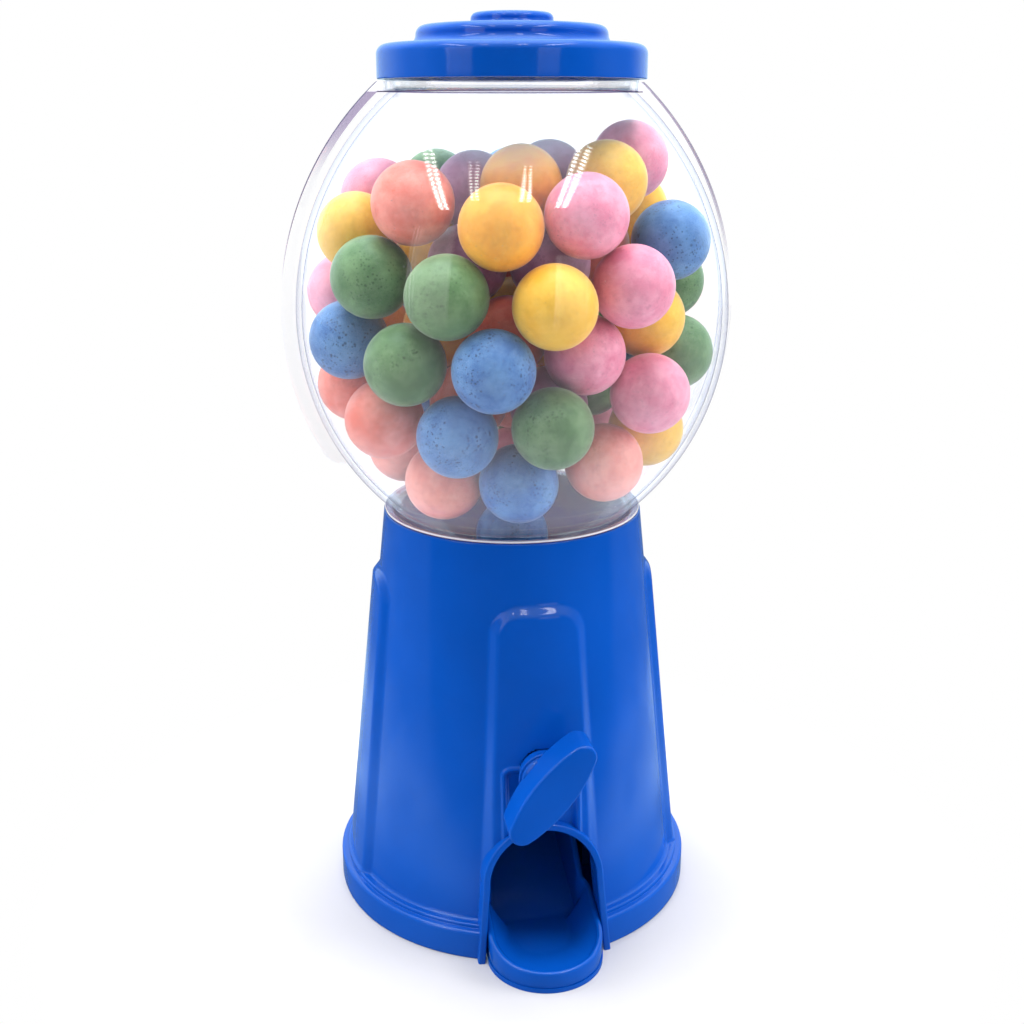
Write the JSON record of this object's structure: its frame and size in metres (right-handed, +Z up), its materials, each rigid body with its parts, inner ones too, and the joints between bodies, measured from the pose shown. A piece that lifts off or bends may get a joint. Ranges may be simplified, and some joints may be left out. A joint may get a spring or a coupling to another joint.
{
  "type": "gumball machine",
  "caption": "Tabletop gumball machine: blue conical base with a turning knob and a chute tray, clear barrel-shaped globe in two halves, filled with gumballs, stepped blue lid",
  "frame": {"origin": "the base's axis at the height of its flat underside", "axes": "+Z up along the base's axis; -Y is the front, where the knob and the tray are; +X is to the right seen from the front"},
  "size_m": [0.0952, 0.0956, 0.1883],
  "materials": {
    "blue_plastic": "glossy moulded plastic, royal blue",
    "clear_plastic": "clear moulded plastic",
    "white_plastic": "satin moulded plastic",
    "steel": "zinc-plated steel",
    "gumball_pink": "hard sugar shell, smooth with fine specks",
    "gumball_coral": "hard sugar shell, smooth with fine specks",
    "gumball_salmon": "hard sugar shell, smooth with fine specks",
    "gumball_yellow": "hard sugar shell, smooth with fine specks",
    "gumball_orange": "hard sugar shell, smooth with fine specks",
    "gumball_red": "hard sugar shell, smooth with fine specks",
    "gumball_green": "hard sugar shell, smooth with fine specks",
    "gumball_blue": "hard sugar shell, smooth with fine specks",
    "gumball_mauve": "hard sugar shell, smooth with fine specks"
  },
  "bodies": {
    "machine": {"globe_front_half": "clear_plastic", "globe_rear_half": "clear_plastic", "hopper": "clear_plastic", "base_housing": "blue_plastic", "wheel_cradle": "blue_plastic", "cradle_screws": "steel", "chute_tray": "blue_plastic", "bottom_plate": "blue_plastic", "bottom_plate_screws": "steel", "gumballs_pink": "gumball_pink", "gumballs_coral": "gumball_coral", "gumballs_salmon": "gumball_salmon", "gumballs_yellow": "gumball_yellow", "gumballs_orange": "gumball_orange", "gumballs_red": "gumball_red", "gumballs_green": "gumball_green", "gumballs_blue": "gumball_blue", "gumballs_mauve": "gumball_mauve"},
    "lid": {"lid": "blue_plastic"},
    "knob_wheel": {"knob": "blue_plastic", "dispensing_wheel": "white_plastic", "wheel_washer": "steel", "wheel_screw": "steel", "gumball_in_wheel": "gumball_pink"}
  },
  "joints": [
    {"name": "knob_turn", "type": "hinge", "parent": "machine", "child": "knob_wheel", "pos_m": [0, 0, 0.0415], "axis": [0, 1, 0], "continuous": true},
    {"name": "lid_lift", "type": "slide", "parent": "machine", "child": "lid", "axis": [0, 0, 1], "range_m": [0, 0.03]}
  ]
}
